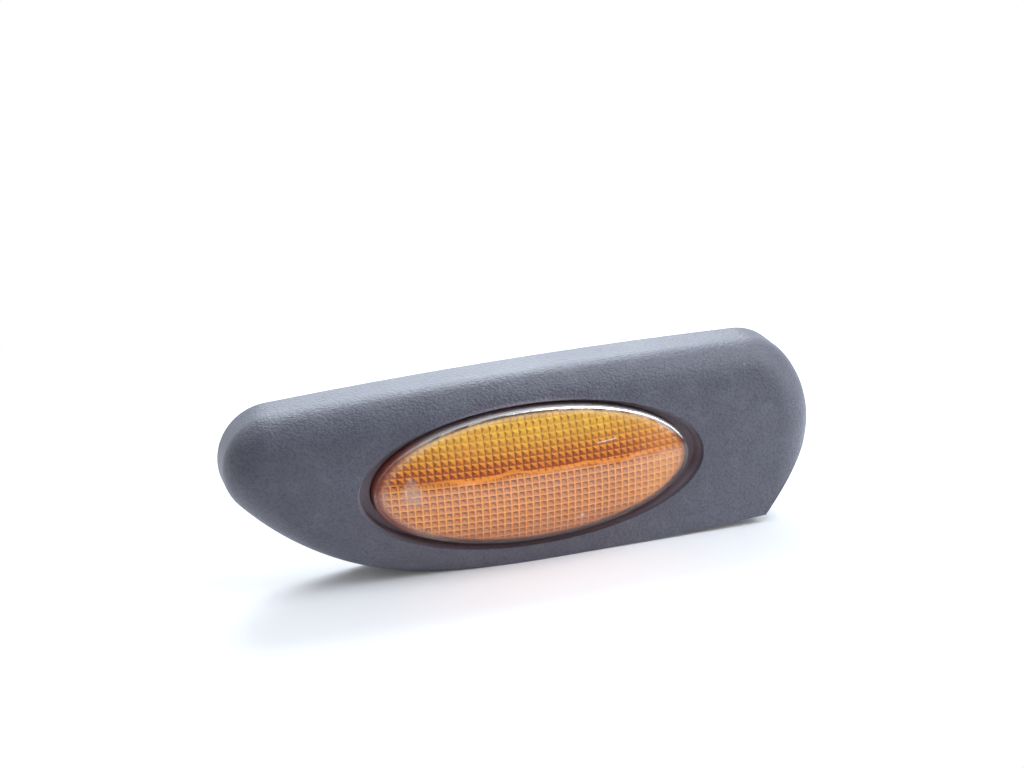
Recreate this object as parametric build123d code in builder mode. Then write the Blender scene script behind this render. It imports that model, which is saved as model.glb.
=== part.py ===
from build123d import *
from math import ceil, degrees, sqrt
import os

# Side repeater lamp set in a short wing moulding.
# X runs along the moulding, Y points from the face into the wing panel, Z is up.
# The panel lies in the plane Y = 0 and the lens axis is the Y axis. Millimetres.
os.makedirs("parts", exist_ok=True)

# Lens
lens_half_length = 48.0
lens_half_height = 20.0
lens_wall = 2.4
lens_apex_y = -27.4
lens_long_radius = 200.0
lens_short_radius = 40.0
lens_skirt_end_y = -9.2
lens_edge_round = 1.3
prism_wall = 2.6
column_pitch = 2.14
column_groove = 1.05
row_pitch = 2.0
row_groove = 0.7
row_offset = 0.06
column_swing = 36.0
column_core_radius = 10.0
row_swing = 17.0
row_core_radius = 170.0
dome_swing = 60.0
dome_reach = 60.0

# Moulding outline on the panel, walked from the nose tip as tangent arcs
nose_reach = 41.9
nose_z = 10.4
nose_upper_radius = 17.0
nose_upper_turn = 86.2
top_radius = 1800.0
top_overrun = 49.9
shoulder_radius = 17.0
shoulder_turn = 51.0
end_radius = 32.0
end_turn = 49.0
end_run = 86.0
nose_lower_radius = 15.5
nose_lower_turn = 40.0
belly_radius = 85.0
belly_turn = 35.0
belly_run = 64.0
hidden_low_z = -110.0
rolled_low_z = -62.0

# Moulding section
moulding_depth = 22.0
moulding_wall = 2.4
wall_draft = 6.0
edge_roll = 12.0
crown_radius = 240.0
crown_z = -4.0
foot_left_setback = 16.0
foot_left_drop = 6.4
foot_middle_x = 18.5
foot_middle_drop = 6.6
foot_right_reach = 26.0
foot_right_drop = 4.2
foot_left_run = 80.0
foot_right_run = 40.0
rake_top_reach = 39.4
rake_top_z = -3.9
rake_bottom_reach = 24.5
rake_bottom_z = -23.7
rake_run = 40.0

# Lens well in the moulding
lens_clearance = 0.4
well_end_margin = 3.2
well_side_margin = 0.6
well_floor_y = -17.0
well_taper = 14.0
well_wall = 2.2
collar_wall = 2.0
collar_end_y = -11.0

# Lamp housing
flange_end_margin = 4.0
flange_side_margin = 2.9
flange_back_y = -6.5
groove_floor_y = -8.6
groove_clearance = 0.25
groove_inner_wall = 1.0
tub_floor_half_length = 25.0
tub_floor_half_height = 13.5
tub_floor_y = 12.0
tub_wall = 2.0
gasket_inner_gap = 1.0
gasket_band = 3.8

# Screws that hold the housing in the moulding
screw_setback = 9.5
screw_shank_radius = 1.9
screw_clearance = 0.1
screw_length = 9.0
screw_head_radius = 3.6
screw_head_height = 2.4
screw_slot_width = 1.0
screw_slot_depth = 1.1
screw_slot_length = 4.2
screw_head_round = 1.2
screw_tip_room = 0.8
ear_radius = 5.0
ear_thickness = 3.0
ear_hole_radius = 2.3
screw_boss_radius = 4.2

# Bulb holder
holder_radius = 8.7
holder_clearance = 0.3
holder_front_y = 6.0
holder_collar_radius = 12.0
holder_collar_end_y = 18.0
holder_seal_thickness = 1.0
holder_seal_inner_radius = 9.4
holder_flange_radius = 13.0
holder_flange_thickness = 2.5
lug_count = 3
lug_reach = 1.8
lug_width = 5.0
lug_thickness = 1.8
lug_gap = 0.2
lug_lock_turn = 40.0
grip_length = 31.0
grip_width = 5.0
grip_height = 4.0
socket_length = 17.0
socket_height = 10.0
socket_wall = 1.7
socket_depth = 10.0
socket_end_y = 34.0
socket_corner = 2.0

# Contacts
contact_x = 3.2
blade_thickness = 0.8
blade_width = 2.8
blade_end_y = 32.0
leaf_thickness = 0.5
leaf_width = 2.6
leaf_flare = 0.9
leaf_lip_length = 2.4
leaf_lip_gap = 0.4
bulb_slot_length = 10.4
bulb_slot_height = 5.4
bulb_slot_floor_y = 15.0

# Wedge base bulb
bulb_radius = 5.1
bulb_glass = 0.5
bulb_tip_y = -12.0
bulb_shoulder_y = 5.0
wedge_length = 9.2
wedge_height = 2.2
wedge_end_y = 14.5
filament_y = -3.4
filament_radius = 0.3
lead_x = 2.6
lead_radius = 0.3

# Spring clips on the moulding
nose_clip_setback = 25.0
nose_clip_z = 8.0
end_clip_setback = 26.8
end_clip_z = 1.0
doghouse_length = 16.0
doghouse_height = 12.0
doghouse_wall = 1.6
doghouse_end_y = -2.0
tower_length = 8.0
tower_thickness = 3.0
tower_end_y = 10.0
clip_sheet = 0.6
clip_width = 6.4
clip_foot_y = 1.2
clip_bulge = 2.6
clip_bulge_y = 4.6
seal_margin = 0.3

# Locating pegs and stiffening ribs
peg_reach = 18.0
peg_z = 18.0
peg_radius = 2.5
peg_end_y = 8.0
peg_root_radius = 3.4
peg_root_end_y = -2.0
peg_tip_chamfer = 0.8
rib_thickness = 1.4
rib_end_y = -11.5
rib_reach = 18.0
rib_stations = (-30.0, 0.0, 30.0)
nose_rib_setback = 14.5
end_rib_setback = 18.0

# Breather on the back of the housing
breather_x = 19.0
breather_radius = 3.5
breather_bore = 1.0
breather_end_y = 16.5
membrane_radius = 3.1
membrane_thickness = 0.3

# Sizes that follow the lens
nose_x = -lens_half_length - nose_reach
top_turn = degrees((2 * lens_half_length + top_overrun) / top_radius)
foot_left = (foot_left_setback - lens_half_length, -lens_half_height - foot_left_drop)
foot_middle = (foot_middle_x, -lens_half_height - foot_middle_drop)
foot_right = (lens_half_length + foot_right_reach, -lens_half_height - foot_right_drop)
rake_top = (lens_half_length + rake_top_reach, rake_top_z)
rake_bottom = (lens_half_length + rake_bottom_reach, rake_bottom_z)
well_half_length = lens_half_length + well_end_margin
well_half_height = lens_half_height + well_side_margin
flange_half_length = lens_half_length + flange_end_margin
flange_half_height = lens_half_height + flange_side_margin
screw_x = lens_half_length + screw_setback
peg_x = lens_half_length + peg_reach
nose_clip = (-lens_half_length - nose_clip_setback, nose_clip_z)
end_clip = (lens_half_length + end_clip_setback, end_clip_z)
clip_stations = (nose_clip, end_clip)
end_rib_stations = (-lens_half_length - nose_rib_setback, lens_half_length + end_rib_setback)


def at_depth(y):
    """Sketch plane facing the viewer at depth y, with X to the right and Z up."""
    return Plane.XZ.offset(-y)


def arc_drop(radius, distance):
    """How far an arc falls away from its crest at this distance along it."""
    return radius - sqrt(radius**2 - distance**2)


def elliptic_ring(outer_length, outer_height, inner_length, inner_height):
    """Flat ring between two ellipses, given by their half sizes."""
    Ellipse(outer_length, outer_height)
    Ellipse(inner_length, inner_height, mode=Mode.SUBTRACT)


def moulding_form(inset):
    """Pillow form of the moulding, with every outer face moved in by inset."""
    with BuildPart() as form:
        with BuildSketch(Plane.XZ):
            with BuildLine():
                nose = (nose_x + inset, nose_z)
                nose_upper = JernArc(nose, (0, 1), nose_upper_radius - inset, -nose_upper_turn)
                top = JernArc(nose_upper @ 1, nose_upper % 1, top_radius - inset, -top_turn)
                shoulder = JernArc(top @ 1, top % 1, shoulder_radius - inset, -shoulder_turn)
                end = JernArc(shoulder @ 1, shoulder % 1, end_radius - inset, -end_turn)
                drop = Line(end @ 1, end @ 1 + (end % 1) * end_run)
                nose_lower = JernArc(nose, (0, -1), nose_lower_radius - inset, nose_lower_turn)
                belly = JernArc(nose_lower @ 1, nose_lower % 1, belly_radius - inset, belly_turn)
                run = Line(belly @ 1, belly @ 1 + (belly % 1) * belly_run)
                run_end = run @ 1
                drop_end = drop @ 1
                Polyline(run_end, (run_end.X, hidden_low_z), (drop_end.X, hidden_low_z), drop_end)
            make_face()
        extrude(amount=moulding_depth - inset, taper=wall_draft)
        with BuildSketch(Plane.YZ):
            with Locations((crown_radius - moulding_depth, crown_z)):
                Circle(crown_radius - inset)
        extrude(amount=-2 * nose_x, both=True, mode=Mode.INTERSECT)
        front = form.faces().sort_by(Axis.Y)[0]
        rolled = front.edges().filter_by(lambda edge: edge.center().Z > rolled_low_z)
        fillet(rolled, edge_roll - inset)
        with BuildSketch(Plane.XZ):
            with BuildLine():
                lift = Vector(0, inset)
                left = Vector(foot_left) + lift
                right = Vector(foot_right) + lift
                foot = ThreePointArc(left, Vector(foot_middle) + lift, right)
                left_run = Line(left, left - (foot % 0) * foot_left_run)
                right_run = Line(right, right + (foot % 1) * foot_right_run)
                left_end = left_run @ 1
                right_end = right_run @ 1
                below = 2 * hidden_low_z
                Polyline(left_end, (left_end.X, below), (right_end.X, below), right_end)
            make_face()
        extrude(amount=moulding_depth, mode=Mode.SUBTRACT)
        with BuildSketch(Plane.XZ):
            with BuildLine():
                along = (Vector(rake_bottom) - Vector(rake_top)).normalized()
                inward = along.rotate(Axis.Z, -90) * inset
                high = Vector(rake_top) + inward - along * rake_run
                low = Vector(rake_bottom) + inward + along * rake_run
                Polyline(high, low, (high.X, low.Y), close=True)
            make_face()
        extrude(amount=moulding_depth, mode=Mode.SUBTRACT)
    return form.part


# Trim moulding: the cavity behind the face comes first, and what it leaves out stays as ribs and bosses
outer_form = moulding_form(0)
inner_form = moulding_form(moulding_wall)
collar_half_length = lens_half_length + lens_clearance + collar_wall
collar_half_height = lens_half_height + lens_clearance + collar_wall

with BuildPart() as cavity:
    add(inner_form)
    with BuildSketch(at_depth(well_floor_y + well_wall)):
        Ellipse(well_half_length + well_wall, well_half_height + well_wall)
    extrude(amount=moulding_depth, mode=Mode.SUBTRACT)
    with BuildSketch(at_depth(collar_end_y)):
        Ellipse(collar_half_length, collar_half_height)
        with Locations((-screw_x, 0), (screw_x, 0)):
            Circle(screw_boss_radius)
    extrude(amount=moulding_depth, mode=Mode.SUBTRACT)
    with BuildSketch(at_depth(doghouse_end_y)):
        with Locations(*clip_stations):
            Rectangle(doghouse_length, doghouse_height)
    extrude(amount=doghouse_wall, mode=Mode.SUBTRACT)
    with BuildSketch(at_depth(doghouse_end_y)):
        with Locations(*clip_stations):
            Rectangle(doghouse_length, doghouse_height)
        with Locations(*[(x, z - doghouse_wall) for x, z in clip_stations]):
            Rectangle(doghouse_length - 2 * doghouse_wall, doghouse_height, mode=Mode.SUBTRACT)
    extrude(amount=moulding_depth, mode=Mode.SUBTRACT)
    with BuildSketch(at_depth(peg_root_end_y)):
        with Locations((-peg_x, peg_z), (peg_x, peg_z)):
            Circle(peg_root_radius)
    extrude(amount=moulding_depth, mode=Mode.SUBTRACT)
    with BuildSketch(at_depth(rib_end_y)):
        with Locations(*[(x, rib_reach) for x in rib_stations]):
            Rectangle(rib_thickness, 2 * rib_reach)
        Ellipse(collar_half_length, collar_half_height, mode=Mode.SUBTRACT)
        with Locations(*[(x, 0) for x in end_rib_stations]):
            Rectangle(rib_thickness, 4 * rib_reach)
    extrude(amount=moulding_depth, mode=Mode.SUBTRACT)

with BuildPart() as trim_moulding:
    add(outer_form)
    add(cavity.part, mode=Mode.SUBTRACT)
    with BuildSketch(at_depth(well_floor_y)):
        Ellipse(well_half_length, well_half_height)
    extrude(amount=moulding_depth, taper=-well_taper, mode=Mode.SUBTRACT)
    with BuildSketch(Plane.XZ):
        Ellipse(lens_half_length + lens_clearance, lens_half_height + lens_clearance)
    extrude(amount=2 * moulding_depth, mode=Mode.SUBTRACT)
    with BuildSketch(at_depth(collar_end_y)):
        with Locations((-screw_x, 0), (screw_x, 0)):
            Circle(screw_shank_radius + screw_clearance)
    extrude(amount=screw_length - ear_thickness + screw_tip_room, mode=Mode.SUBTRACT)
    with BuildSketch(at_depth(doghouse_end_y)):
        with Locations(*clip_stations):
            Rectangle(tower_length, tower_thickness)
    extrude(amount=doghouse_end_y - tower_end_y)
    with BuildSketch(at_depth(peg_root_end_y)):
        with Locations((-peg_x, peg_z), (peg_x, peg_z)):
            Circle(peg_radius)
    extrude(amount=peg_root_end_y - peg_end_y)
    chamfer(trim_moulding.faces().filter_by(GeomType.PLANE).group_by(Axis.Y)[-2].edges(), peg_tip_chamfer)
trim_moulding.part.label = "trim_moulding"
export_step(trim_moulding.part, "parts/trim_moulding.step")

# Lens: a domed oval with two crossing sets of grooves inside, which leave rows of small pyramids
short_axis = Axis((0, lens_apex_y + lens_short_radius, 0), (-1, 0, 0))
long_axis = Axis((0, lens_apex_y + lens_long_radius, 0), (0, 0, 1))
short_plane = Plane(short_axis.position, x_dir=(1, 0, 0), z_dir=(0, 0, -1))
long_plane = Plane(long_axis.position, x_dir=(0, 0, 1), z_dir=(1, 0, 0))


def groove_points(pitch, half_width, crest_radius, along_radius, groove):
    """Ridges and grooves in turn, in distance from the turning axis, along a falling arc."""
    points = []
    last_step = 2 * ceil(half_width / pitch) + 1
    for step in range(-last_step, last_step + 1):
        across = step * pitch / 2
        depth = groove if step % 2 else 0
        points.append((across, crest_radius - arc_drop(along_radius, across) + depth))
    return points


def groove_tool(plane, axis, swing, points, core_radius):
    """Solid behind a ridged face of revolution."""
    with BuildPart() as tool:
        with BuildSketch(plane):
            with BuildLine():
                Polyline(*points)
                Polyline(points[0], (points[0][0], core_radius), (points[-1][0], core_radius), points[-1])
            make_face()
        revolve(axis=axis, revolution_arc=2 * swing)
        with BuildSketch(at_depth(lens_skirt_end_y)):
            Ellipse(lens_half_length - lens_wall, lens_half_height - lens_wall)
        extrude(amount=moulding_depth, mode=Mode.INTERSECT)
    return tool.part


column_crest = lens_short_radius - prism_wall
column_points = groove_points(
    column_pitch, lens_half_length - lens_wall, column_crest, lens_long_radius, column_groove
)
column_tool = groove_tool(
    short_plane.rotated((column_swing, 0, 0)), short_axis, column_swing, column_points, column_core_radius
)
row_crest = lens_long_radius - prism_wall + row_offset
row_points = groove_points(row_pitch, lens_half_height - lens_wall, row_crest, lens_short_radius, row_groove)
row_tool = groove_tool(
    long_plane.rotated((0, 0, -row_swing)), long_axis, row_swing, row_points, row_core_radius
)

with BuildPart() as lens:
    with BuildSketch(short_plane.rotated((dome_swing, 0, 0))):
        with BuildLine():
            side = lens_short_radius - arc_drop(lens_long_radius, dome_reach)
            crest = ThreePointArc((-dome_reach, side), (0, lens_short_radius), (dome_reach, side))
            Polyline(crest @ 0, (-dome_reach, 0), (dome_reach, 0), crest @ 1)
        make_face()
    revolve(axis=short_axis, revolution_arc=2 * dome_swing)
    with BuildSketch(at_depth(lens_skirt_end_y)):
        Ellipse(lens_half_length, lens_half_height)
    extrude(amount=moulding_depth, mode=Mode.INTERSECT)
    fillet(lens.edges().sort_by(Axis.Y)[0], lens_edge_round)
    add(column_tool, mode=Mode.SUBTRACT)
    add(row_tool, mode=Mode.SUBTRACT)
lens.part.label = "lens"
export_step(lens.part, "parts/lens.step")

# Lamp housing: oval tub with a grooved flange, screw ears and a collar for the bulb holder
tub_front_length = lens_half_length - lens_wall - groove_clearance - groove_inner_wall
tub_front_height = lens_half_height - lens_wall - groove_clearance - groove_inner_wall

with BuildPart() as lamp_housing:
    with BuildSketch(at_depth(flange_back_y)):
        Ellipse(flange_half_length, flange_half_height)
    extrude(amount=flange_back_y - collar_end_y)
    with BuildSketch(at_depth(collar_end_y)):
        SlotOverall(2 * (screw_x + ear_radius), 2 * ear_radius)
    extrude(amount=-ear_thickness)
    with BuildSketch(at_depth(flange_back_y)):
        Ellipse(tub_front_length + tub_wall, tub_front_height + tub_wall)
    with BuildSketch(at_depth(tub_floor_y + tub_wall)):
        Ellipse(tub_floor_half_length + tub_wall, tub_floor_half_height + tub_wall)
    loft()
    with BuildSketch(at_depth(tub_floor_y + tub_wall)):
        Circle(holder_collar_radius)
    extrude(amount=tub_floor_y + tub_wall - holder_collar_end_y)
    with BuildSketch(at_depth(tub_floor_y + tub_wall)):
        with Locations((breather_x, 0)):
            Circle(breather_radius)
    extrude(amount=tub_floor_y + tub_wall - breather_end_y)
    with BuildSketch(at_depth(collar_end_y)):
        Ellipse(tub_front_length, tub_front_height)
    with BuildSketch(at_depth(tub_floor_y)):
        Ellipse(tub_floor_half_length, tub_floor_half_height)
    loft(mode=Mode.SUBTRACT)
    with BuildSketch(at_depth(groove_floor_y)):
        elliptic_ring(
            lens_half_length + groove_clearance,
            lens_half_height + groove_clearance,
            tub_front_length + groove_inner_wall,
            tub_front_height + groove_inner_wall,
        )
    extrude(amount=groove_floor_y - collar_end_y, mode=Mode.SUBTRACT)
    with BuildSketch(at_depth(holder_collar_end_y)):
        Circle(holder_radius + holder_clearance)
        with PolarLocations(holder_radius, lug_count, start_angle=90):
            Rectangle(2 * (lug_reach + holder_clearance), lug_width + 2 * holder_clearance)
        with Locations((breather_x, 0)):
            Circle(breather_bore)
    extrude(amount=holder_collar_end_y - tub_floor_y, mode=Mode.SUBTRACT)
    with BuildSketch(at_depth(collar_end_y)):
        with Locations((-screw_x, 0), (screw_x, 0)):
            Circle(ear_hole_radius)
    extrude(amount=-ear_thickness, mode=Mode.SUBTRACT)
lamp_housing.part.label = "lamp_housing"
export_step(lamp_housing.part, "parts/lamp_housing.step")

# Sealing bead under the lens skirt
with BuildPart() as lens_seal:
    with BuildSketch(at_depth(groove_floor_y)):
        elliptic_ring(
            lens_half_length, lens_half_height, lens_half_length - lens_wall, lens_half_height - lens_wall
        )
    extrude(amount=groove_floor_y - lens_skirt_end_y)
lens_seal.part.label = "lens_seal"
export_step(lens_seal.part, "parts/lens_seal.step")

# Foam gasket between the housing flange and the wing panel
gasket_inner_length = tub_front_length + tub_wall + gasket_inner_gap
gasket_inner_height = tub_front_height + tub_wall + gasket_inner_gap
with BuildPart() as panel_gasket:
    with BuildSketch(Plane.XZ):
        elliptic_ring(
            gasket_inner_length + gasket_band,
            gasket_inner_height + gasket_band,
            gasket_inner_length,
            gasket_inner_height,
        )
    extrude(amount=-flange_back_y)
panel_gasket.part.label = "panel_gasket"
export_step(panel_gasket.part, "parts/panel_gasket.step")

# Screws through the housing ears
screw_head_y = collar_end_y + ear_thickness
with BuildPart() as housing_screws:
    with BuildSketch(at_depth(screw_head_y)):
        with Locations((-screw_x, 0), (screw_x, 0)):
            Circle(screw_head_radius)
    extrude(amount=-screw_head_height)
    fillet(housing_screws.edges().group_by(Axis.Y)[-1], screw_head_round)
    with BuildSketch(at_depth(screw_head_y)):
        with Locations((-screw_x, 0), (screw_x, 0)):
            Circle(screw_shank_radius)
    extrude(amount=screw_length)
    with BuildSketch(at_depth(screw_head_y + screw_head_height)):
        with Locations((-screw_x, 0), (screw_x, 0)):
            Rectangle(screw_slot_length, screw_slot_width)
            Rectangle(screw_slot_width, screw_slot_length)
    extrude(amount=screw_slot_depth, mode=Mode.SUBTRACT)
housing_screws.part.label = "housing_screws"
export_step(housing_screws.part, "parts/housing_screws.step")

# Bulb holder with a twist lock and a plug socket
holder_flange_y = holder_collar_end_y + holder_seal_thickness
holder_back_y = holder_flange_y + holder_flange_thickness
lug_back_y = tub_floor_y - lug_gap
with BuildPart() as bulb_holder:
    with BuildSketch(at_depth(holder_front_y)):
        Circle(holder_radius)
    extrude(amount=holder_front_y - holder_back_y)
    with BuildSketch(at_depth(holder_flange_y)):
        Circle(holder_flange_radius)
    extrude(amount=-holder_flange_thickness)
    with BuildSketch(at_depth(lug_back_y)):
        with PolarLocations(holder_radius, lug_count, start_angle=90 + lug_lock_turn):
            Rectangle(2 * lug_reach, lug_width)
    extrude(amount=lug_thickness)
    with BuildSketch(at_depth(holder_back_y)):
        SlotOverall(grip_length, grip_width)
    extrude(amount=-grip_height)
    with BuildSketch(at_depth(holder_back_y)):
        RectangleRounded(socket_length, socket_height, socket_corner)
    extrude(amount=holder_back_y - socket_end_y)
    with BuildSketch(at_depth(socket_end_y)):
        Rectangle(socket_length - 2 * socket_wall, socket_height - 2 * socket_wall)
    extrude(amount=socket_depth, mode=Mode.SUBTRACT)
    with BuildSketch(at_depth(holder_front_y)):
        Rectangle(bulb_slot_length, bulb_slot_height)
    extrude(amount=holder_front_y - bulb_slot_floor_y, mode=Mode.SUBTRACT)
    with BuildSketch(at_depth(bulb_slot_floor_y)):
        with Locations((-contact_x, 0), (contact_x, 0)):
            Rectangle(blade_thickness, blade_width)
    extrude(amount=bulb_slot_floor_y - socket_end_y, mode=Mode.SUBTRACT)
bulb_holder.part.label = "bulb_holder"
export_step(bulb_holder.part, "parts/bulb_holder.step")

# Flat ring that seals the bulb holder
with BuildPart() as holder_seal:
    with BuildSketch(at_depth(holder_collar_end_y)):
        Circle(holder_collar_radius)
        Circle(holder_seal_inner_radius, mode=Mode.SUBTRACT)
    extrude(amount=-holder_seal_thickness)
holder_seal.part.label = "holder_seal"
export_step(holder_seal.part, "parts/holder_seal.step")


def make_contact(side):
    """Brass strip: a plug blade at the back and a sprung leaf that bears on one face of the bulb's wedge."""
    leaf_z = side * (wedge_height / 2 + leaf_thickness / 2)
    lip_z = leaf_z + side * leaf_flare
    with BuildPart() as contact:
        with BuildSketch(at_depth(bulb_slot_floor_y)):
            with Locations((side * contact_x, 0)):
                Rectangle(blade_thickness, blade_width)
        extrude(amount=bulb_slot_floor_y - blade_end_y)
        with BuildSketch(Plane.YZ.offset(side * contact_x)):
            with BuildLine():
                Polyline(
                    (bulb_slot_floor_y, leaf_z),
                    (holder_front_y + leaf_lip_length, leaf_z),
                    (holder_front_y + leaf_lip_gap, lip_z),
                )
            trace(line_width=leaf_thickness)
        extrude(amount=leaf_width / 2, both=True)
        with BuildSketch(at_depth(bulb_slot_floor_y)):
            with Locations((side * contact_x, side * blade_width / 4)):
                Rectangle(leaf_width, blade_width / 2)
        extrude(amount=leaf_thickness)
    return contact.part


contact_left = make_contact(-1)
contact_left.label = "contact_left"
export_step(contact_left, "parts/contact_left.step")
contact_right = make_contact(1)
contact_right.label = "contact_right"
export_step(contact_right, "parts/contact_right.step")

# Bulb: blown glass with a pinched wedge base
with BuildPart() as bulb_envelope:
    with BuildSketch(Plane.XY):
        with BuildLine():
            tip = CenterArc((0, bulb_tip_y + bulb_radius), bulb_radius, 270, 90)
            Polyline(tip @ 1, (bulb_radius, bulb_shoulder_y), (0, bulb_shoulder_y), tip @ 0)
        make_face()
    revolve(axis=Axis.Y)
    with BuildSketch(at_depth(bulb_shoulder_y)):
        Rectangle(wedge_length, wedge_height)
    extrude(amount=bulb_shoulder_y - wedge_end_y)
    with BuildSketch(Plane.XY):
        with BuildLine():
            inner_tip = CenterArc((0, bulb_tip_y + bulb_radius), bulb_radius - bulb_glass, 270, 90)
            inner_end_y = bulb_shoulder_y - bulb_glass
            Polyline(inner_tip @ 1, (bulb_radius - bulb_glass, inner_end_y), (0, inner_end_y), inner_tip @ 0)
        make_face()
    revolve(axis=Axis.Y, mode=Mode.SUBTRACT)
bulb_envelope.part.label = "bulb_envelope"
export_step(bulb_envelope.part, "parts/bulb_envelope.step")

# Filament between its two lead wires
with BuildPart() as bulb_filament:
    with BuildSketch(Plane.YZ.offset(-lead_x + lead_radius)):
        with Locations((filament_y, 0)):
            Circle(filament_radius)
    extrude(amount=2 * (lead_x - lead_radius))
bulb_filament.part.label = "bulb_filament"
export_step(bulb_filament.part, "parts/bulb_filament.step")


def make_lead(side):
    """Lead wire standing on the glass pinch."""
    with BuildPart() as lead:
        with BuildSketch(at_depth(bulb_shoulder_y - bulb_glass)):
            with Locations((side * lead_x, 0)):
                Circle(lead_radius)
        extrude(amount=bulb_shoulder_y - bulb_glass - filament_y + 2 * filament_radius)
    return lead.part


lead_left = make_lead(-1)
lead_left.label = "lead_left"
export_step(lead_left, "parts/lead_left.step")
lead_right = make_lead(1)
lead_right.label = "lead_right"
export_step(lead_right, "parts/lead_right.step")

# Breather membrane on the back of the housing
with BuildPart() as breather_membrane:
    with BuildSketch(at_depth(breather_end_y)):
        with Locations((breather_x, 0)):
            Circle(membrane_radius)
    extrude(amount=-membrane_thickness)
breather_membrane.part.label = "breather_membrane"
export_step(breather_membrane.part, "parts/breather_membrane.step")

# Foam seals around the clip towers
with BuildPart() as clip_seals:
    with BuildSketch(Plane.XZ):
        with Locations(*clip_stations):
            Rectangle(doghouse_length, doghouse_height)
            Rectangle(tower_length + 2 * seal_margin, tower_thickness + 2 * seal_margin, mode=Mode.SUBTRACT)
    extrude(amount=-doghouse_end_y)
clip_seals.part.label = "clip_seals"
export_step(clip_seals.part, "parts/clip_seals.step")

# Folded spring clips that snap into the panel
with BuildPart() as retaining_clips:
    for station_x, station_z in clip_stations:
        with BuildSketch(Plane.YZ.offset(station_x - clip_width / 2)):
            with BuildLine():
                leg = tower_thickness / 2 + clip_sheet / 2
                crown_y = tower_end_y + clip_sheet / 2
                wing = leg + clip_bulge
                Polyline(
                    (clip_foot_y, station_z + leg + clip_sheet),
                    (clip_bulge_y, station_z + wing),
                    (crown_y, station_z + leg),
                    (crown_y, station_z - leg),
                    (clip_bulge_y, station_z - wing),
                    (clip_foot_y, station_z - leg - clip_sheet),
                )
            trace(line_width=clip_sheet)
        extrude(amount=clip_width)
retaining_clips.part.label = "retaining_clips"
export_step(retaining_clips.part, "parts/retaining_clips.step")
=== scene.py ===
import math

import bmesh
import bpy
from mathutils import Matrix, Vector


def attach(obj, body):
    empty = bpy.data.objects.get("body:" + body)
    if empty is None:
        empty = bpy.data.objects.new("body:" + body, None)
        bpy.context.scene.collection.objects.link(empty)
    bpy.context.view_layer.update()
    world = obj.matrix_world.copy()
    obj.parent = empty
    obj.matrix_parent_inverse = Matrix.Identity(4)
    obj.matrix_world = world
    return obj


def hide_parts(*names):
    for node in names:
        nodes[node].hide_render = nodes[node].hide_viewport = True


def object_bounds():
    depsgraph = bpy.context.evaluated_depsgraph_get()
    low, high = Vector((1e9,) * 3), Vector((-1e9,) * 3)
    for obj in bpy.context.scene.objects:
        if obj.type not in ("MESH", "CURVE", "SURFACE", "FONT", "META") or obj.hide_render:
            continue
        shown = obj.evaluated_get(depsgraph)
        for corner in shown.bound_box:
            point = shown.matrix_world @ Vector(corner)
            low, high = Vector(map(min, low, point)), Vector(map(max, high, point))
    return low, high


# Side repeater lamp in a wing moulding. Metres, with X along the moulding, Y into the panel and Z up.
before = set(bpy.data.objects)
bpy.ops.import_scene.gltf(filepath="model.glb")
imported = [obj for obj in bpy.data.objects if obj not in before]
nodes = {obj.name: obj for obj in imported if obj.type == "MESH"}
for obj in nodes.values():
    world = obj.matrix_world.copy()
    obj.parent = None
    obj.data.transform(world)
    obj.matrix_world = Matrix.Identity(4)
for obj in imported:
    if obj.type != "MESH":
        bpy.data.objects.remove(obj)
cad_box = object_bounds()
MM = 0.001

# Lens, as in the part: a barrel dome cut to an oval, with a rounded edge and a skirt
LENS_HALF_LENGTH = 48.0 * MM
LENS_HALF_HEIGHT = 20.0 * MM
LENS_APEX_Y = -27.398 * MM
LENS_LONG_RADIUS = 200.0 * MM
LENS_SHORT_RADIUS = 40.0 * MM
LENS_SKIRT_END_Y = -9.2 * MM
LENS_EDGE_ROUND = 1.3 * MM
LENS_WALL = 1.0 * MM
LENS_STEPS_ROUND = 256
LENS_DOME_RINGS = 30
LENS_EDGE_RINGS = 8
LENS_SHARP_ANGLE = math.radians(40)

# Marks on the lens: centre X and Z, then half length and half height
WORN_PATCH = (-37.0 * MM, 0.6 * MM, 3.2 * MM, 5.4 * MM)
PALE_SPECK = (12.6 * MM, -13.5 * MM, 0.9 * MM, 0.9 * MM)
SCRATCH_X = 21.4 * MM
SCRATCH_Z = 8.4 * MM
SCRATCH_SLOPE = 0.066

# Prisms behind the dome
COLUMN_PITCH = 2.14 * MM
ROW_PITCH = 2.0 * MM
COLUMNS = 44
ROWS = 19
PRISM_SETBACK = 1.5 * MM
PRISM_DEPTH = 0.85 * MM
PRISM_FLAT = 0.14
PRISM_SHEET = 0.4 * MM
PRISM_HALF_LENGTH = 46.9 * MM
PRISM_HALF_HEIGHT = 18.9 * MM
CELL_OVERHANG = 0.3

# Painted light and shade of the prisms: a facet's least and full slope for its painted tone, the line
# along a cell's border, and the place of a painted line of light
FACET_LEAN = 0.15
FACET_STEEP = 0.4
BORDER_START = 0.36
BORDER_FULL = 0.46
LIGHT_LINE_X = 4.0 * MM
LIGHT_LINE_Z = 2.0 * MM

# Grain of the moulding: how far its pebbles are pushed out of line
GRAIN_WARP = 0.5 * MM

# Well around the lens, and the depths between which its painted lightening, which lifts the shade there,
# sets in
WELL_HALF_LENGTH = 53.2 * MM
WELL_HALF_HEIGHT = 22.0 * MM
WELL_LIP_Y = -21.2 * MM
WELL_PAINTED_LIGHT_Y = -19.6 * MM

# Floor under the moulding's lowest edge, fading to plain white further out
FLOOR_HALF = 3.0
FLOOR_FRONT_Y = -0.155
FLOOR_FADE_START = 0.22
FLOOR_FADE_END = 0.5
FRONT_FADE_START_Y = -0.09
FRONT_FADE_END_Y = -0.14
FLOOR_GLOW = 0.06

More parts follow.
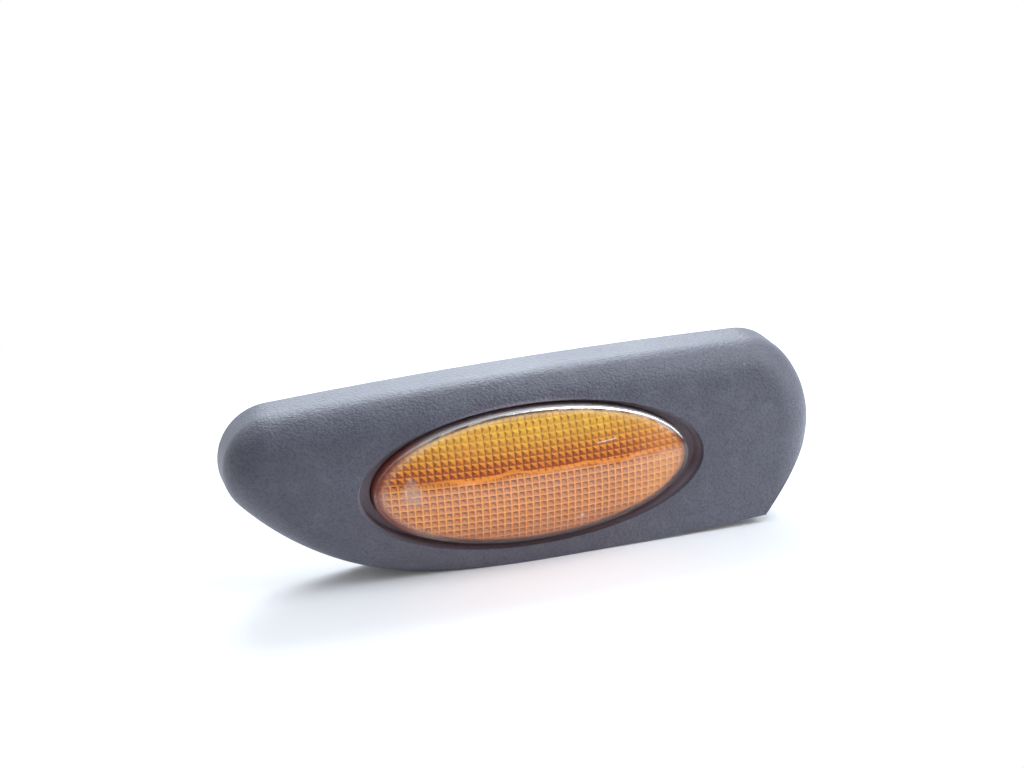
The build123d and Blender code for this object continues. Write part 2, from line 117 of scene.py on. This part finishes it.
# Lamps
PART_CENTRE = (0.0, 0.0, 0.0)
WHITE = (1.0, 1.0, 1.0, 1.0)
DAYLIGHT = (0.84, 0.92, 1.0)
PALE_DAYLIGHT = (0.95, 0.97, 1.0)
AMBER_LIGHT = (1.0, 0.3, 0.08)

# Camera at the photograph's place
CAMERA_PLACE = Vector((-82.49, -375.16, 118.47)) * MM
CAMERA_TURN = math.radians(-12.4)
CAMERA_RISE = math.radians(14.0)
CAMERA_ROLL = math.radians(-4.8)
SENSOR_WIDTH = 36.0
FOCAL_PIXELS = 1300
PICTURE_WIDTH = 1024


class Value:
    """One output of a node, which takes part in sums."""

    def __init__(self, tree, socket):
        self.tree = tree
        self.socket = socket

    def out(self, name):
        """Another output of the same node."""
        return Value(self.tree, self.socket.node.outputs[name])

    def __add__(self, other):
        return self.tree.math("ADD", self, other)

    def __sub__(self, other):
        return self.tree.math("SUBTRACT", self, other)

    def __rsub__(self, other):
        return self.tree.math("SUBTRACT", other, self)

    def __mul__(self, other):
        return self.tree.math("MULTIPLY", self, other)

    def __truediv__(self, other):
        return self.tree.math("DIVIDE", self, other)

    def __rtruediv__(self, other):
        return self.tree.math("DIVIDE", other, self)

    def __abs__(self):
        return self.tree.math("ABSOLUTE", self)

    __radd__ = __add__
    __rmul__ = __mul__


class Tree:
    """A node tree that is written as expressions."""

    def __init__(self, node_tree):
        self.node_tree = node_tree
        node_tree.nodes.clear()

    def add(self, kind, settings=None, sockets=None, out=0):
        """A new node with its settings and inputs, given as one of its outputs."""
        node = self.node_tree.nodes.new(kind)
        for name, value in (settings or {}).items():
            setattr(node, name, value)
        for key, value in (sockets or {}).items():
            if isinstance(value, Value):
                self.node_tree.links.new(value.socket, node.inputs[key])
            else:
                node.inputs[key].default_value = value
        return Value(self, node.outputs[out]) if node.outputs else node

    def math(self, operation, *terms):
        return self.add("ShaderNodeMath", {"operation": operation}, dict(enumerate(terms)))

    def step(self, value, low, high, to_low=0.0, to_high=1.0):
        """Smooth rise of value from low to high."""
        return self.add(
            "ShaderNodeMapRange",
            {"interpolation_type": "SMOOTHSTEP", "clamp": True},
            {0: value, 1: low, 2: high, 3: to_low, 4: to_high},
        )

    def blend(self, share, first, second):
        """Mix of two colours."""
        return self.add("ShaderNodeMix", {"data_type": "RGBA"}, {0: share, 6: first, 7: second}, 2)

    def split(self, vector):
        parts = self.add("ShaderNodeSeparateXYZ", {}, {0: vector})
        return parts, parts.out("Y"), parts.out("Z")

    def oval(self, x, z, half_length, half_height):
        """Square of the reach from an oval's centre, which is 1 on its edge."""
        reach_x = x / half_length
        reach_z = z / half_height
        return reach_x * reach_x + reach_z * reach_z

    def mix_shader(self, share, first, second):
        return self.add("ShaderNodeMixShader", {}, {0: share, 1: first, 2: second})


def colour(red, green, blue):
    """Screen colour, 0 to 255, as the linear colour of a socket."""
    def linear(level):
        level /= 255
        return level / 12.92 if level <= 0.04045 else ((level + 0.055) / 1.055) ** 2.4
    return (linear(red), linear(green), linear(blue), 1.0)


class Finish(Tree):
    """A procedural material."""

    def __init__(self, name):
        self.material = bpy.data.materials.new(name)
        self.material.use_nodes = True
        super().__init__(self.material.node_tree)
        self.place = self.add("ShaderNodeTexCoord", {}, {}, 3)

    def stretched(self, scale, vector=None):
        """The place on the piece, with its axes stretched."""
        return self.add("ShaderNodeMapping", {}, {"Vector": vector or self.place, "Scale": scale})

    def noise(self, scale, detail=3.0, roughness=0.5, vector=None):
        vector = vector or self.place
        sockets = {"Vector": vector, "Scale": scale, "Detail": detail, "Roughness": roughness}
        return self.add("ShaderNodeTexNoise", {}, sockets)

    def cells(self, scale, vector=None, feature="F1"):
        sockets = {"Vector": vector or self.place, "Scale": scale}
        return self.add("ShaderNodeTexVoronoi", {"feature": feature}, sockets).out("Distance")

    def bump(self, height, distance, strength):
        sockets = {"Height": height, "Distance": distance, "Strength": strength}
        return self.add("ShaderNodeBump", {}, sockets)

    def clear(self, tint):
        return self.add("ShaderNodeBsdfTransparent", {}, {"Color": tint})

    def principled(self, **sockets):
        named = {name.replace("_", " "): value for name, value in sockets.items()}
        return self.add("ShaderNodeBsdfPrincipled", {}, named)

    def finish(self, shader):
        self.add("ShaderNodeOutputMaterial", {}, {"Surface": shader})
        return self.material


def grained_trim():
    """Black moulded plastic with a leather grain, in a blue-grey lighter than black that partly stands
    for the strong light on it, painted lighter deep in the well to lift the shade there, and specked.
    """
    f = Finish("grained_trim")
    x, y, z = f.split(f.place)
    warp = f.noise(900.0, 2.0).out("Color")
    shift = (GRAIN_WARP,) * 3
    warped = f.add("ShaderNodeVectorMath", {"operation": "MULTIPLY_ADD"}, {0: warp, 1: shift, 2: f.place})
    pebbles = f.cells(1650.0, f.stretched((0.8, 1.0, 1.0), warped), "SMOOTH_F1")
    fine = f.noise(5200.0, 2.0)
    grain = f.bump(pebbles * -1.0 + fine * 0.25, 0.0003, 0.5)
    waves = f.noise(38.0, 4.0, 0.55)
    dust = f.noise(150.0, 5.0, 0.65)
    # Blue-grey lighter than the black plastic, partly standing for the strong light on it
    grey = f.blend(f.step(waves, 0.3, 0.7), colour(86, 85, 97), colour(98, 97, 110))
    grey = f.blend(f.step(dust, 0.5, 0.75) * 0.2, grey, colour(128, 130, 140))
    grey = f.blend(f.step(pebbles, 0.25, 0.75) * 0.35, grey, colour(52, 51, 58))
    # Painted light: deep in the well the trim is blended to a paler colour, lifting the shade that falls
    # there
    in_well = f.step(f.oval(x, z, WELL_HALF_LENGTH, WELL_HALF_HEIGHT), 1.05, 0.97)
    well = in_well * f.step(y, WELL_LIP_Y, WELL_PAINTED_LIGHT_Y)
    grey = f.blend(well * 0.85, grey, colour(146, 130, 138))
    specks = f.step(f.cells(95.0), 0.055, 0.03) * f.step(f.noise(16.0, 1.0), 0.6, 0.68)
    grey = f.blend(specks * 0.7, grey, colour(196, 198, 204))
    return f.finish(
        f.principled(
            Base_Color=grey,
            Roughness=f.step(waves, 0.2, 0.8, 0.42, 0.54) + specks * 0.2,
            IOR=1.5,
            Specular_IOR_Level=0.5,
            Sheen_Weight=0.3,
            Sheen_Roughness=0.45,
            Sheen_Tint=colour(214, 222, 236),
            Normal=grain,
        )
    )


def amber_prisms():
    """Amber facets behind the dome, in painted light and shade: each side of a prism throws the light
    back differently, so each is painted its own lit or shaded tone, and the whole field glows.
    """
    f = Finish("amber_prisms")
    x, _, z = f.split(f.place)
    across, _, rise = f.split(f.add("ShaderNodeNewGeometry").out("True Normal"))
    wander = f.noise(60.0, 3.0) * 8 * MM - 4 * MM
    upper = f.step(z + x * 0.02 + wander * 0.5, 1.2 * MM, 2.2 * MM)
    crown = f.step(z, 4 * MM, 17 * MM)
    edge = f.step(f.oval(x, z, PRISM_HALF_LENGTH, PRISM_HALF_HEIGHT), 0.8, 1.0)
    # Painted light and shade: each facet's tone is picked by which way it faces
    top_side = f.step(rise, -FACET_LEAN, -FACET_STEEP)
    low_side = f.step(rise, FACET_LEAN, FACET_STEEP)
    left_side = f.step(across, FACET_LEAN, FACET_STEEP)
    right_side = f.step(across, -FACET_LEAN, -FACET_STEEP)
    in_column = f.math("FRACT", x / COLUMN_PITCH + COLUMNS)
    in_row = f.math("FRACT", z / ROW_PITCH + ROWS + 0.5)
    column_edge = f.step(abs(in_column - 0.5), BORDER_START, BORDER_FULL)
    row_edge = f.step(abs(in_row - 0.5), BORDER_START, BORDER_FULL)
    pitches = (COLUMN_PITCH, 1.0, ROW_PITCH)
    cell = f.add("ShaderNodeVectorMath", {"operation": "SNAP"}, {0: f.place, 1: pitches})
    shade = f.add("ShaderNodeTexWhiteNoise", {}, {"Vector": cell})

    # Upper half: painted light and shade, with bright tops, dark left sides and dark grooves, yellower
    # and paler towards the crown as painted light, with painted glints along its edge
    upper_tone = f.blend(top_side, colour(200, 118, 52), colour(255, 200, 84))
    upper_tone = f.blend(right_side, upper_tone, colour(248, 178, 78))
    upper_tone = f.blend(left_side, upper_tone, colour(110, 48, 28))
    upper_tone = f.blend(low_side, upper_tone, colour(166, 86, 42))
    upper_tone = f.blend(column_edge * 0.6, upper_tone, colour(104, 48, 32))
    upper_tone = f.blend(f.step(z, 9 * MM, 3 * MM) * 0.3, upper_tone, colour(150, 76, 44))
    lit = 1.0 - left_side * 0.6 - low_side * 0.35
    upper_tone = f.blend(crown * lit, upper_tone, colour(255, 240, 112))
    upper_tone = f.blend(edge * crown * 0.9, upper_tone, colour(255, 250, 226))

    # Lower half: painted shade on dark tops between pale painted lines of light, browner towards the
    # bottom and darker at the oval edge
    lower_tone = f.blend(top_side, colour(198, 140, 76), colour(86, 40, 30))
    lower_tone = f.blend(left_side, lower_tone, colour(190, 128, 70))
    lower_tone = f.blend(right_side, lower_tone, colour(168, 104, 60))
    lower_tone = f.blend(low_side, lower_tone, colour(208, 158, 98))
    lower_tone = f.blend(row_edge * 0.75, lower_tone, colour(248, 202, 140))
    lower_tone = f.blend(column_edge * 0.8, lower_tone, colour(250, 198, 110))
    lower_tone = f.blend(edge * 0.45, lower_tone, colour(150, 84, 64))
    lower_tone = f.blend(f.step(z, -9 * MM, -17 * MM) * 0.4, lower_tone, colour(140, 76, 56))

    # Both: a paler right end as a painted reflection, cells that differ, haze, and a wavy bright line
    # between the halves as painted light
    tone = f.blend(upper, lower_tone, upper_tone)
    # Painted reflection: paler towards the right end
    tone = f.blend(f.step(x, 24 * MM, 42 * MM) * 0.25, tone, colour(250, 214, 160))
    tone = f.blend(shade * 0.22, tone, colour(164, 96, 52))
    haze = f.noise(70.0, 3.0)
    tone = f.blend(f.step(haze, 0.5, 0.8) * 0.18, tone, colour(236, 182, 112))
    # Painted light: a wavy bright line between the halves
    painted_light_line = f.step(abs(z - LIGHT_LINE_Z + wander), 0.8 * MM, 0.3 * MM)
    painted_light_line = painted_light_line * f.step(abs(x - LIGHT_LINE_X), 40 * MM, 26 * MM)
    tone = f.blend(painted_light_line * 0.6, tone, colour(252, 190, 90))
    return f.finish(
        f.principled(
            Base_Color=tone,
            Roughness=0.35,
            IOR=1.5,
            # Painted light: the prisms glow in their own tone, standing for the light they throw back,
            # though they are no lamp
            Emission_Color=tone,
            Emission_Strength=0.57,
            Normal=f.bump(haze, 0.0001, 0.3),
        )
    )


def clear_amber():
    """Polished outer face of the lens, clear with a faint haze, a worn patch, a scratch and a speck, and
    a skirt painted red-brown at the sides and pale at the top as a painted reflection of the sky.
    """
    f = Finish("clear_amber")
    x, _, z = f.split(f.place)
    polish = f.bump(f.noise(75.0, 2.0), 0.001, 0.8)
    fresnel = f.add("ShaderNodeFresnel", {}, {"IOR": 1.75, "Normal": polish})
    rim = f.add("ShaderNodeAttribute", {"attribute_name": "rim"}).out("Fac")
    scuffs = f.noise(900.0, 4.0, 0.7, f.stretched((0.12, 1.0, 1.0)))

    def spot(centre_x, centre_z, half_length, half_height):
        """Patch with a ragged outline."""
        reach = f.oval(x - centre_x, z - centre_z, half_length, half_height)
        return f.step(reach + f.noise(420.0, 4.0, 0.65) * 2.6, 2.5, 0.9)

    worn = spot(*WORN_PATCH) * 0.45
    speck = spot(*PALE_SPECK)
    along = abs(x - SCRATCH_X)
    off = abs(z - SCRATCH_Z - (x - SCRATCH_X) * SCRATCH_SLOPE)
    scratch = f.step(along, 3.4 * MM, 2.6 * MM) * f.step(off, 0.26 * MM, 0.1 * MM)
    skirt = f.step(rim, 0.5, 0.9)
    # Painted reflection: the skirt turns pale towards its top, standing for the sky it mirrors; red-brown
    # lower down
    skirt_red_and_painted_sky = f.blend(f.step(z, 3 * MM, 12 * MM), colour(158, 84, 66), colour(206, 190, 190))
    reach = f.oval(x, z, PRISM_HALF_LENGTH, PRISM_HALF_HEIGHT)
    left_edge = f.step(reach, 0.84, 1.0) * f.step(x, -24 * MM, -42 * MM)
    film_share = worn + left_edge * 0.5 + scratch * 0.7 + speck * 0.6
    film_share = film_share + f.step(scuffs, 0.62, 0.8) * 0.08 + skirt * 0.75 + 0.02
    film_tone = f.blend(worn, colour(236, 222, 214), colour(172, 146, 120))
    film_tone = f.blend(skirt, film_tone, skirt_red_and_painted_sky)
    film_tone = f.blend(left_edge, film_tone, colour(164, 80, 62))
    film = f.principled(Base_Color=film_tone, Roughness=0.4)
    rough = rim * 0.25 + 0.1
    gloss = f.add("ShaderNodeBsdfGlossy", {}, {"Color": WHITE, "Roughness": rough, "Normal": polish})
    shine = f.step(rim, 0.0, 0.3) * f.step(z, 0.0, 12 * MM, 0.12, 0.7)
    polished = f.mix_shader(fresnel + shine, f.clear(colour(255, 251, 246)), gloss)
    return f.finish(f.mix_shader(film_share, polished, film))


def amber_body():
    """Coloured plastic of the lens wall: clear over the prisms, deep red-brown around them."""
    f = Finish("amber_body")
    x, _, z = f.split(f.place)
    streaks = f.noise(120.0, 3.0)
    around = f.step(f.oval(x, z, PRISM_HALF_LENGTH, PRISM_HALF_HEIGHT), 0.92, 1.01)
    deep_tone = f.blend(f.step(streaks, 0.3, 0.7), colour(116, 50, 34), colour(140, 66, 40))
    deep = f.principled(Base_Color=deep_tone, Roughness=0.25)
    return f.finish(f.mix_shader(around * 0.85 + 0.02, f.clear(colour(255, 246, 232)), deep))


def moulded_plastic(name, dark, light, rough):
    """Matt engineering plastic with a spark-eroded skin."""
    f = Finish(name)
    cloud = f.noise(60.0, 4.0)
    skin = f.noise(2600.0, 3.0, 0.6)
    rub = f.noise(260.0, 5.0, 0.7)
    tone = f.blend(f.step(cloud, 0.3, 0.7), dark, light)
    tone = f.blend(f.step(rub, 0.58, 0.8) * 0.3, tone, colour(150, 150, 152))
    return f.finish(
        f.principled(
            Base_Color=tone,
            Roughness=f.step(cloud, 0.2, 0.8, rough - 0.06, rough + 0.06),
            Normal=f.bump(skin, 0.00018, 0.4),
        )
    )


def foam(name, dark, light):
    """Closed-cell foam with open skin pores, painted near black as painted shade inside them."""
    f = Finish(name)
    pores = f.cells(1500.0, None, "SMOOTH_F1")
    cloud = f.noise(90.0, 4.0)
    tone = f.blend(f.step(cloud, 0.3, 0.7), dark, light)
    # Painted shade: the pores are blended to near black
    tone = f.blend(f.step(pores, 0.35, 0.1) * 0.6, tone, colour(14, 14, 16))
    return f.finish(f.principled(Base_Color=tone, Roughness=0.92, Normal=f.bump(pores, 0.0004, 0.8)))


def rubber(name, dark, light):
    """Soft rubber with a dull bloom."""
    f = Finish(name)
    bloom = f.noise(320.0, 5.0, 0.65)
    return f.finish(
        f.principled(
            Base_Color=f.blend(f.step(bloom, 0.35, 0.75), dark, light),
            Roughness=f.step(bloom, 0.3, 0.7, 0.55, 0.75),
            Normal=f.bump(bloom, 0.0001, 0.35),
        )
    )


def metal(name, bright, dull, rough, stretch):
    """Plated sheet or wire with drawn streaks and a few dull stains."""
    f = Finish(name)
    streaks = f.noise(1400.0, 4.0, 0.6, f.stretched(stretch))
    stains = f.noise(180.0, 4.0, 0.6)
    return f.finish(
        f.principled(
            Base_Color=f.blend(f.step(stains, 0.45, 0.75), bright, dull),
            Metallic=f.step(stains, 0.5, 0.8, 1.0, 0.8),
            Roughness=f.step(streaks, 0.25, 0.75, rough - 0.08, rough + 0.12),
            Normal=f.bump(streaks, 0.00006, 0.4),
        )
    )


def bulb_glass():
    """Clear blown glass."""
    f = Finish("bulb_glass")
    cords = f.noise(160.0, 2.0, 0.5, f.stretched((1.0, 0.3, 1.0)))
    surface = f.bump(cords, 0.0003, 0.2)
    gloss = f.add("ShaderNodeBsdfGlossy", {}, {"Roughness": 0.04, "Normal": surface})
    fresnel = f.add("ShaderNodeFresnel", {}, {"IOR": 1.5, "Normal": surface})
    return f.finish(f.mix_shader(fresnel, f.clear(colour(250, 252, 250)), gloss))


def lens_depth(x, z):
    """How deep the lens dome lies at this place."""
    ring = LENS_SHORT_RADIUS - (LENS_LONG_RADIUS - math.sqrt(LENS_LONG_RADIUS**2 - x * x))
    return LENS_APEX_Y + LENS_SHORT_RADIUS - math.sqrt(ring * ring - z * z)


def lens_profile(turn):
    """Points of the lens wall at one turn around its oval: crown, edge, skirt and back inside."""
    cosine, sine = math.cos(turn), math.sin(turn)
    edge = Vector((LENS_HALF_LENGTH * cosine, LENS_HALF_HEIGHT * sine))
    inward = -Vector((cosine / LENS_HALF_LENGTH, sine / LENS_HALF_HEIGHT)).normalized()
    probe = edge + inward * LENS_EDGE_ROUND
    slope = (lens_depth(*probe) - lens_depth(*edge)) / LENS_EDGE_ROUND
    long = math.hypot(1.0, slope)
    meet = LENS_EDGE_ROUND * (1 + slope / long)
    rim = edge + inward * meet
    outer = []
    for ring in range(1, LENS_DOME_RINGS + 1):
        at = rim * (ring / LENS_DOME_RINGS)
        outer.append((at.x, lens_depth(*at), at.y))
    centre_y = lens_depth(*edge) + slope * meet + LENS_EDGE_ROUND / long
    tilt = math.atan2(1.0, -slope)
    for ring in range(1, LENS_EDGE_RINGS + 1):
        angle = tilt * (1 - ring / LENS_EDGE_RINGS)
        at = edge + inward * (LENS_EDGE_ROUND * (1 - math.cos(angle)))
        outer.append((at.x, centre_y - LENS_EDGE_ROUND * math.sin(angle), at.y))
    outer.append((edge.x, LENS_SKIRT_END_Y, edge.y))
    inner_edge = edge + inward * LENS_WALL
    inner = [(inner_edge.x, LENS_SKIRT_END_Y, inner_edge.y)]
    for ring in range(LENS_DOME_RINGS, 0, -1):
        at = inner_edge * (ring / LENS_DOME_RINGS)
        inner.append((at.x, lens_depth(*at) + LENS_WALL, at.y))
    return outer, inner


def new_piece(name, mesh):
    piece = bpy.data.objects.new(name, mesh)
    bpy.context.scene.collection.objects.link(piece)
    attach(piece, "root")
    return piece


def build_lens():
    """Closed lens wall: the polished outer face and the coloured inner face."""
    shell = bmesh.new()
    rim = shell.verts.layers.float.new("rim")
    loops = []
    for step in range(LENS_STEPS_ROUND):
        outer, inner = lens_profile(2 * math.pi * step / LENS_STEPS_ROUND)
        loops.append([shell.verts.new(point) for point in outer + inner])
        for ring, vertex in enumerate(loops[-1][LENS_DOME_RINGS:]):
            vertex[rim] = min((ring + 1) / LENS_EDGE_RINGS, 1.0)
    outer_count = len(outer)
    front = shell.verts.new((0, lens_depth(0, 0), 0))
    back = shell.verts.new((0, lens_depth(0, 0) + LENS_WALL, 0))
    for here, there in zip(loops, loops[1:] + loops[:1]):
        shell.faces.new((front, here[0], there[0]))
        shell.faces.new((back, there[-1], here[-1]))
        for place, corners in enumerate(zip(here, here[1:], there[1:], there)):
            face = shell.faces.new(corners)
            face.material_index = int(place >= outer_count)
    for face in back.link_faces:
        face.material_index = 1
    bmesh.ops.recalc_face_normals(shell, faces=shell.faces)
    for face in shell.faces:
        face.smooth = True
    mesh = bpy.data.meshes.new("amber_lens")
    shell.to_mesh(mesh)
    shell.free()
    mesh.materials.append(clear_amber())
    mesh.materials.append(amber_body())
    mesh.set_sharp_from_angle(angle=LENS_SHARP_ANGLE)
    return new_piece("amber_lens", mesh)


def prism_tree(material):
    """Grid of cells bent to the lens dome and trimmed to its oval, each sunk to a blunt pyramid."""
    group = bpy.data.node_groups.new("prism_field", "GeometryNodeTree")
    group.is_modifier = True
    sizes = {
        "Column pitch": COLUMN_PITCH,
        "Row pitch": ROW_PITCH,
        "Columns": COLUMNS,
        "Rows": ROWS,
        "Half length": PRISM_HALF_LENGTH,
        "Half height": PRISM_HALF_HEIGHT,
        "Apex": LENS_APEX_Y + PRISM_SETBACK,
        "Long radius": LENS_LONG_RADIUS,
        "Short radius": LENS_SHORT_RADIUS,
        "Prism depth": PRISM_DEPTH,
        "Flat": PRISM_FLAT,
    }
    identifiers = {}
    for name in sizes:
        socket = group.interface.new_socket(name=name, in_out="INPUT", socket_type="NodeSocketFloat")
        identifiers[name] = socket.identifier
    group.interface.new_socket(name="Geometry", in_out="OUTPUT", socket_type="NodeSocketGeometry")
    t = Tree(group)
    size = t.add("NodeGroupInput")
    pitch_x, pitch_z = size.out("Column pitch"), size.out("Row pitch")
    columns, rows = size.out("Columns"), size.out("Rows")
    half_length, half_height = size.out("Half length"), size.out("Half height")
    grid = t.add(
        "GeometryNodeMeshGrid",
        {},
        {
            "Size X": columns * pitch_x,
            "Size Y": rows * pitch_z,
            "Vertices X": columns + 1.0,
            "Vertices Y": rows + 1.0,
        },
    )
    x, z, _ = t.split(t.add("GeometryNodeInputPosition"))
    near_x = abs(x) - pitch_x * CELL_OVERHANG
    near_z = abs(z) - pitch_z * CELL_OVERHANG
    outside = t.math("GREATER_THAN", t.oval(near_x, near_z, half_length, half_height), 1.0)
    dropped = {"Geometry": grid, "Selection": outside}
    kept = t.add("GeometryNodeDeleteGeometry", {"domain": "FACE"}, dropped)
    reach = t.math("SQRT", t.oval(x, z, half_length, half_height))
    shrink = 1.0 / t.math("MAXIMUM", reach, 1.0)
    trimmed = t.add("ShaderNodeCombineXYZ", {}, {0: x * shrink, 1: z * shrink})
    cells = t.add("GeometryNodeSetPosition", {}, {"Geometry": kept, "Position": trimmed})
    long_radius, short_radius = size.out("Long radius"), size.out("Short radius")
    ring = short_radius - long_radius + t.math("SQRT", long_radius * long_radius - x * x)
    depth = size.out("Apex") + short_radius - t.math("SQRT", ring * ring - z * z)
    place = t.add("ShaderNodeCombineXYZ", {}, {0: x, 1: depth, 2: z})
    bent = t.add("GeometryNodeSetPosition", {}, {"Geometry": cells, "Position": place})
    inwards = t.add("ShaderNodeCombineXYZ", {}, {1: size.out("Prism depth")})
    sinking = {"Mesh": bent, "Offset": inwards, "Individual": True}
    sunk = t.add("GeometryNodeExtrudeMesh", {"mode": "FACES"}, sinking)
    blunt = t.add(
        "GeometryNodeScaleElements",
        {"domain": "FACE"},
        {"Geometry": sunk, "Selection": sunk.out("Top"), "Scale": size.out("Flat")},
    )
    whole = t.add("GeometryNodeRealizeInstances", {}, {"Geometry": blunt})
    done = t.add("GeometryNodeSetMaterial", {}, {"Geometry": whole, "Material": material})
    t.add("NodeGroupOutput", {}, {"Geometry": done})
    return group, {identifiers[name]: float(value) for name, value in sizes.items()}


def build_prisms():
    """Sheet of prisms, given its wall after the field is made."""
    holder = bpy.data.objects.new("prism_holder", bpy.data.meshes.new("prism_holder"))
    bpy.context.scene.collection.objects.link(holder)
    group, values = prism_tree(amber_prisms())
    modifier = holder.modifiers.new("prism_field", "NODES")
    modifier.node_group = group
    for identifier, value in values.items():
        modifier[identifier] = value
    wall = holder.modifiers.new("prism_wall", "SOLIDIFY")
    wall.thickness = PRISM_SHEET
    wall.offset = -1.0
    evaluated = holder.evaluated_get(bpy.context.evaluated_depsgraph_get())
    mesh = bpy.data.meshes.new_from_object(evaluated)
    bpy.data.objects.remove(holder)
    mesh.name = "lens_prisms"
    return new_piece("lens_prisms", mesh)


def pale_floor():
    """White sheet that keeps the shadow near the part and turns to plain white further out."""
    f = Finish("pale_floor")
    x, y, _ = f.split(f.place)
    far = f.step(f.math("SQRT", x * x + y * y), FLOOR_FADE_START, FLOOR_FADE_END)
    far = f.math("MAXIMUM", far, f.step(y, FRONT_FADE_START_Y, FRONT_FADE_END_Y))
    path = f.add("ShaderNodeLightPath")
    seen = f.math("MAXIMUM", path.out("Is Camera Ray"), path.out("Is Glossy Ray"))
    seen = f.math("MAXIMUM", seen, path.out("Is Transmission Ray"))
    sheet_tone = f.blend(f.noise(30.0), (0.93, 0.92, 0.93, 1), (0.95, 0.94, 0.945, 1))
    sheet = f.principled(Base_Color=sheet_tone, Roughness=0.7)
    white = f.add("ShaderNodeEmission", {}, {"Color": WHITE, "Strength": 1.0})
    shown = far * (1 - FLOOR_GLOW) + FLOOR_GLOW
    return f.finish(f.mix_shader(shown * seen, sheet, white))


def lay_floor():
    floor_mesh = bpy.data.meshes.new("floor")
    corners = [
        (-FLOOR_HALF, FLOOR_FRONT_Y),
        (FLOOR_HALF, FLOOR_FRONT_Y),
        (FLOOR_HALF, FLOOR_HALF),
        (-FLOOR_HALF, FLOOR_HALF),
    ]
    floor_mesh.from_pydata([(x, y, cad_box[0][2]) for x, y in corners], [], [(0, 1, 2, 3)])
    floor_mesh.materials.append(pale_floor())
    floor = bpy.data.objects.new("floor", floor_mesh)
    bpy.context.scene.collection.objects.link(floor)


def light_room():
    """Bright behind the lamp, dim behind the viewer, and white where the camera looks past it."""
    world = bpy.data.worlds.new("room")
    bpy.context.scene.world = world
    world.use_nodes = True
    t = Tree(world.node_tree)
    _, y, z = t.split(t.add("ShaderNodeTexCoord"))
    level = t.step(y + z * 0.5, -0.1, 0.75, 0.2, 0.8)
    room = t.add("ShaderNodeBackground", {}, {"Color": (0.93, 0.97, 1.0, 1), "Strength": level})
    white = t.add("ShaderNodeBackground", {}, {"Color": WHITE, "Strength": 1.0})
    shown = t.mix_shader(t.add("ShaderNodeLightPath").out("Is Camera Ray"), room, white)
    t.add("ShaderNodeOutputWorld", {}, {"Surface": shown})


def area_lamp(name, place, target, size, watts, tone):
    data = bpy.data.lights.new(name, "AREA")
    data.shape = "RECTANGLE"
    data.size, data.size_y = size
    data.energy = watts
    data.color = tone
    lamp = bpy.data.objects.new(name, data)
    lamp.location = place
    lamp.rotation_euler = (Vector(place) - Vector(target)).to_track_quat("Z", "Y").to_euler()
    bpy.context.scene.collection.objects.link(lamp)


def place_camera():
    """Camera turned, raised and rolled as the photograph's was."""
    back = Vector((
        math.sin(CAMERA_TURN) * math.cos(CAMERA_RISE),
        -math.cos(CAMERA_TURN) * math.cos(CAMERA_RISE),
        math.sin(CAMERA_RISE),
    ))
    level_right = Vector((0, 0, 1)).cross(back).normalized()
    level_up = back.cross(level_right)
    right = math.cos(CAMERA_ROLL) * level_right + math.sin(CAMERA_ROLL) * level_up
    up = math.cos(CAMERA_ROLL) * level_up - math.sin(CAMERA_ROLL) * level_right
    data = bpy.data.cameras.new("camera")
    data.lens = SENSOR_WIDTH * FOCAL_PIXELS / PICTURE_WIDTH
    data.sensor_width = SENSOR_WIDTH
    data.sensor_fit = "HORIZONTAL"
    data.clip_start = 0.01
    camera = bpy.data.objects.new("camera", data)
    turned = Matrix((right, up, back)).transposed().to_4x4()
    camera.matrix_world = Matrix.Translation(CAMERA_PLACE) @ turned
    bpy.context.scene.collection.objects.link(camera)
    bpy.context.scene.camera = camera


lens = build_lens()
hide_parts("lens")
build_prisms()

# Finishes of the carried nodes
zinc = metal("zinc_steel", colour(206, 204, 196), colour(158, 154, 140), 0.34, (1.0, 0.1, 1.0))
spring = metal("spring_steel", colour(150, 150, 152), colour(98, 96, 94), 0.38, (0.08, 1.0, 1.0))
brass = metal("contact_brass", colour(222, 190, 120), colour(176, 138, 76), 0.3, (1.0, 0.1, 1.0))
wire = metal("filament_wire", colour(150, 150, 156), colour(112, 112, 118), 0.4, (0.1, 1.0, 1.0))
node_finishes = {
    "trim_moulding": grained_trim(),
    "lamp_housing": moulded_plastic("housing_plastic", colour(42, 43, 46), colour(54, 55, 58), 0.5),
    "bulb_holder": moulded_plastic("holder_plastic", colour(112, 114, 118), colour(130, 131, 134), 0.45),
    "housing_screws": zinc,
    "retaining_clips": spring,
    "contact_left": brass,
    "contact_right": brass,
    "bulb_filament": wire,
    "lead_left": wire,
    "lead_right": wire,
    "lens_seal": rubber("sealant", colour(46, 46, 48), colour(62, 62, 64)),
    "holder_seal": rubber("seal_rubber", colour(30, 30, 32), colour(48, 48, 50)),
    "panel_gasket": foam("panel_foam", colour(52, 52, 56), colour(70, 70, 74)),
    "clip_seals": foam("clip_foam", colour(58, 58, 62), colour(76, 76, 80)),
    "breather_membrane": rubber("membrane", colour(206, 206, 202), colour(232, 232, 228)),
    "bulb_envelope": bulb_glass(),
}
for name, material in node_finishes.items():
    for held in nodes[name].material_slots:
        held.material = material

# Studio: floor, soft light from behind, above and the right, and a faint amber light under the lens
lay_floor()
light_room()
area_lamp("back_window", (0.1, 0.52, 0.52), PART_CENTRE, (0.5, 0.45), 5.6, DAYLIGHT)
area_lamp("ceiling_panel", (0.42, -0.24, 0.64), PART_CENTRE, (0.6, 0.5), 5.4, DAYLIGHT)
area_lamp("right_panel", (0.72, -0.42, 0.26), PART_CENTRE, (0.5, 0.4), 2.4, PALE_DAYLIGHT)
area_lamp("lens_glow", (0.0, -0.036, -0.006), (0.0, -0.04, -0.03), (0.07, 0.012), 0.0006, AMBER_LIGHT)
place_camera()
bpy.context.scene.view_settings.view_transform = "Standard"
